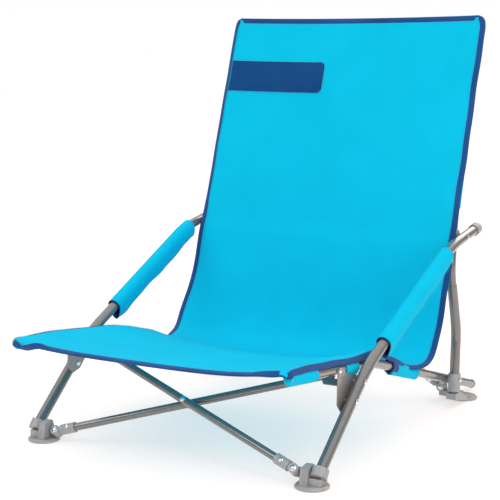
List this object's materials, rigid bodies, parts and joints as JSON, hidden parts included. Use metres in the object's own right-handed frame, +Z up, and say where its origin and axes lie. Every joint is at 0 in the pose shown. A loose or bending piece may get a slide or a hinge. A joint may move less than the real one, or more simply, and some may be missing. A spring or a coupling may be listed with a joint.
{
  "type": "folding camp chair",
  "caption": "Low folding camp chair: a fabric sling on two bent-tube side frames, joined by crossed tubes in front and behind, with round feet and sleeved arms.",
  "frame": {"origin": "on the floor, under the middle of the chair's box", "axes": "+X to the right as seen from the front, +Y from front to back, +Z up"},
  "size_m": [0.571, 0.7546, 0.698],
  "materials": {
    "tube": "glossy grey powder-coated steel tube",
    "fabric": "plain-woven polyester, matt, cyan",
    "binding": "woven edge tape, navy blue",
    "light_plastic": "moulded light grey, satin",
    "dark_plastic": "moulded dark grey, satin",
    "black_plastic": "moulded black, satin",
    "bracket": "grey powder-coated pressed steel",
    "rivet": "bright plated rivet head"
  },
  "bodies": {
    "left_side": {"leg_arm_tube_left": "tube", "arm_end_cap_left": "light_plastic", "arm_sleeve_left": "fabric", "leg_tip_left": "dark_plastic", "seat_rail_left": "tube", "rail_front_plug_left": "light_plastic", "rail_rear_plug_left": "light_plastic", "back_post_lower_left": "tube", "back_post_upper_left": "tube", "post_top_plug_left": "light_plastic", "lower_collar_left": "light_plastic", "upper_collar_left": "light_plastic", "front_bracket_left": "bracket", "side_rivets_left": "rivet", "front_hinge_pin_left": "black_plastic", "rear_hinge_pin_left": "black_plastic", "seat_panel": "fabric", "back_panel": "fabric"},
    "right_side": {"leg_arm_tube_right": "tube", "arm_end_cap_right": "light_plastic", "arm_sleeve_right": "fabric", "leg_tip_right": "dark_plastic", "seat_rail_right": "tube", "rail_front_plug_right": "light_plastic", "rail_rear_plug_right": "light_plastic", "back_post_lower_right": "tube", "back_post_upper_right": "tube", "post_top_plug_right": "light_plastic", "lower_collar_right": "light_plastic", "upper_collar_right": "light_plastic", "front_bracket_right": "bracket", "side_rivets_right": "rivet", "front_hinge_pin_right": "black_plastic", "rear_hinge_pin_right": "black_plastic"},
    "front_tube_a": {"front_brace_a": "tube", "front_brace_a_eye": "dark_plastic", "front_brace_a_socket": "light_plastic", "front_brace_a_rivets": "rivet"},
    "front_tube_b": {"front_brace_b": "tube", "front_brace_b_eye": "dark_plastic", "front_brace_b_socket": "light_plastic", "front_brace_b_rivets": "rivet"},
    "front_foot_left_unit": {"front_foot_left": "light_plastic", "front_foot_pin_left": "rivet"},
    "front_foot_right_unit": {"front_foot_right": "light_plastic", "front_foot_pin_right": "rivet"},
    "rear_tube_a": {"rear_brace_a": "tube", "rear_brace_a_eye": "dark_plastic", "rear_brace_a_socket": "light_plastic", "rear_brace_a_rivets": "rivet"},
    "rear_tube_b": {"rear_brace_b": "tube", "rear_brace_b_eye": "dark_plastic", "rear_brace_b_socket": "light_plastic", "rear_brace_b_rivets": "rivet"},
    "rear_foot_left_unit": {"rear_foot_left": "light_plastic", "rear_foot_pin_left": "rivet"},
    "rear_foot_right_unit": {"rear_foot_right": "light_plastic", "rear_foot_pin_right": "rivet"}
  },
  "joints": [
    {"name": "fold", "type": "hinge", "parent": "left_side", "child": "front_tube_b", "pos_m": [-0.225, -0.2099, 0.15], "axis": [0, 0.785, -0.6194], "range_deg": [0, 60], "deforming": ["seat_panel", "back_panel"]},
    {"name": "front_cross", "type": "hinge", "parent": "front_tube_b", "child": "front_tube_a", "pos_m": [0, -0.2604, 0.086], "axis": [0, 0.785, -0.6194], "range_deg": [-120.06, 0]},
    {"name": "front_right_hinge", "type": "hinge", "parent": "front_tube_a", "child": "right_side", "pos_m": [0.225, -0.2099, 0.15], "axis": [0, 0.785, -0.6194], "range_deg": [0, 60.03]},
    {"name": "front_right_foot_hinge", "type": "hinge", "parent": "front_tube_b", "child": "front_foot_right_unit", "pos_m": [0.225, -0.3109, 0.022], "axis": [0, 0.785, -0.6194], "range_deg": [-60.03, 0]},
    {"name": "front_left_foot_hinge", "type": "hinge", "parent": "front_tube_a", "child": "front_foot_left_unit", "pos_m": [-0.225, -0.3109, 0.022], "axis": [0, 0.785, -0.6194], "range_deg": [0, 60.03]},
    {"name": "rear_left_hinge", "type": "hinge", "parent": "left_side", "child": "rear_tube_b", "pos_m": [-0.217, 0.2411, 0.318], "axis": [0, 0.9899, 0.1414], "range_deg": [0, 48.23]},
    {"name": "rear_right_hinge", "type": "hinge", "parent": "right_side", "child": "rear_tube_a", "pos_m": [0.217, 0.2411, 0.318], "axis": [0, 0.9899, 0.1414], "range_deg": [-48.23, 0]},
    {"name": "rear_right_foot_hinge", "type": "hinge", "parent": "rear_tube_b", "child": "rear_foot_right_unit", "pos_m": [0.217, 0.2831, 0.024], "axis": [0, 0.9899, 0.1414], "range_deg": [-48.23, 0]},
    {"name": "rear_left_foot_hinge", "type": "hinge", "parent": "rear_tube_a", "child": "rear_foot_left_unit", "pos_m": [-0.217, 0.2831, 0.024], "axis": [0, 0.9899, 0.1414], "range_deg": [0, 48.23]}
  ],
  "couplings": [
    {"joint": "front_cross", "follows": "fold", "ratio": -2},
    {"joint": "front_right_hinge", "follows": "fold", "ratio": 1},
    {"joint": "front_right_foot_hinge", "follows": "fold", "ratio": -1},
    {"joint": "front_left_foot_hinge", "follows": "fold", "ratio": 1},
    {"joint": "rear_left_hinge", "follows": "fold", "ratio": 0.8035},
    {"joint": "rear_right_hinge", "follows": "fold", "ratio": -0.8035},
    {"joint": "rear_right_foot_hinge", "follows": "fold", "ratio": -0.8035},
    {"joint": "rear_left_foot_hinge", "follows": "fold", "ratio": 0.8035}
  ]
}
